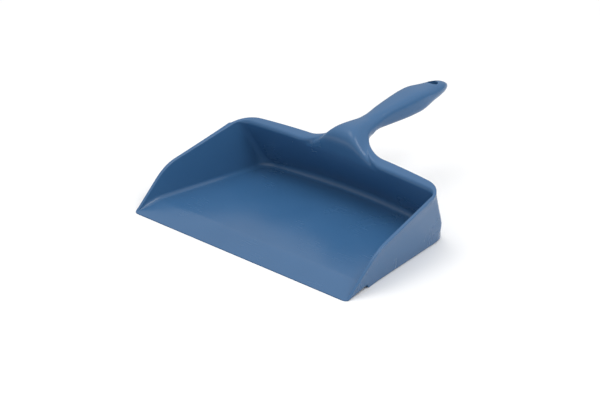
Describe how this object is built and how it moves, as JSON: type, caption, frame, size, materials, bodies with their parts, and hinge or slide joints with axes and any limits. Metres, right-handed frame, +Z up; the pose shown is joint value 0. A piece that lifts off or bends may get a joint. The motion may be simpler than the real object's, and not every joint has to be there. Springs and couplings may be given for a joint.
{
  "type": "dustpan",
  "caption": "Moulded plastic dustpan with a straight thin lip, raised floor, leaning walls, flanged rim and integral handle with a hanging hole.",
  "frame": {"origin": "on the ground under the middle of the whole pan, handle included", "axes": "+Z up; +Y from the lip to the handle end; +X to the right seen from the lip"},
  "size_m": [0.3318, 0.3556, 0.1117],
  "materials": {
    "blue_plastic": "satin"
  },
  "bodies": {
    "root": {"lip_ramp": "blue_plastic", "pan_floor": "blue_plastic", "left_foot": "blue_plastic", "right_foot": "blue_plastic", "rear_foot": "blue_plastic", "front_foot": "blue_plastic", "left_side_wall": "blue_plastic", "right_side_wall": "blue_plastic", "left_rear_corner": "blue_plastic", "right_rear_corner": "blue_plastic", "back_wall": "blue_plastic", "left_side_rim": "blue_plastic", "right_side_rim": "blue_plastic", "left_rear_rim": "blue_plastic", "right_rear_rim": "blue_plastic", "handle_neck": "blue_plastic", "grip": "blue_plastic"}
  },
  "joints": []
}
